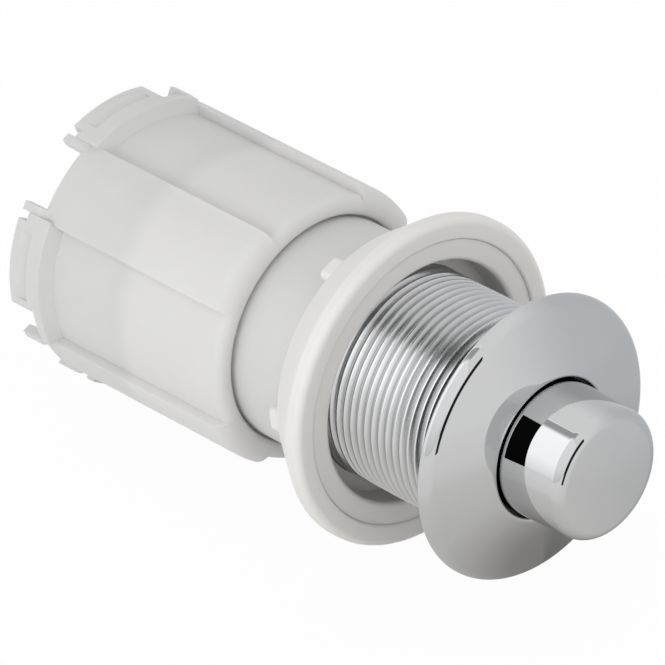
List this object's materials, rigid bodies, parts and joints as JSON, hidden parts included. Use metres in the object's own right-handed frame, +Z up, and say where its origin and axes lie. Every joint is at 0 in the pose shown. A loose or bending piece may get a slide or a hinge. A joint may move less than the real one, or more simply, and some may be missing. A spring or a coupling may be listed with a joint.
{
  "type": "pneumatic push button actuator",
  "caption": "Panel-mounted air push button with a domed chrome rosette, threaded sleeve, flanged fixing nut and a translucent ribbed bellows housing with a hose nipple.",
  "frame": {"origin": "on the button's axis, in the plane of the rosette's rear face, where it rests on the panel", "axes": "+Y along the button's travel, from the button face towards the hose nipple; +Z up; +X to the right seen from the front"},
  "size_m": [0.07, 0.1397, 0.07],
  "materials": {
    "chrome": "polished plating",
    "thread_chrome": "plated thread",
    "nut_plastic": "satin moulded",
    "carrier_plastic": "satin moulded",
    "milky_plastic": "translucent moulded",
    "black_plastic": "smooth",
    "inner_plastic": "plain moulded",
    "rubber": "matt",
    "steel": "bright drawn"
  },
  "bodies": {
    "mounting": {"rosette": "chrome", "rosette_seal": "rubber", "threaded_sleeve": "thread_chrome", "guide_bush": "black_plastic", "stop_washer": "rubber", "bush_circlip": "steel", "carrier": "carrier_plastic", "carrier_o_ring": "rubber", "housing": "milky_plastic", "base_plate": "inner_plastic", "base_screws": "steel", "bellows_clamp_ring": "inner_plastic", "bellows": "rubber", "return_spring": "steel"},
    "button": {"button_cap": "chrome", "button_insert": "inner_plastic", "plunger_rod": "steel", "pusher_plate": "inner_plastic", "spring_cup": "inner_plastic"},
    "slip_ring": {"nut_slip_ring": "nut_plastic"},
    "nut": {"fixing_nut": "nut_plastic"}
  },
  "joints": [
    {"name": "button_press", "type": "slide", "parent": "mounting", "child": "button", "axis": [0, 1, 0], "range_m": [0, 0.012], "stiffness_N_per_m": 1200, "springref_m": -0.004, "deforming": ["bellows", "return_spring"]},
    {"name": "nut_travel", "type": "slide", "parent": "mounting", "child": "slip_ring", "axis": [0, -1, 0], "range_m": [0, 0.025]},
    {"name": "nut_turn", "type": "hinge", "parent": "slip_ring", "child": "nut", "pos_m": [0, 0.0283, 0], "axis": [0, -1, 0], "range_deg": [0, 4500]}
  ],
  "couplings": [
    {"joint": "nut_travel", "follows": "nut_turn", "m_per_rad": 0.00031831}
  ]
}
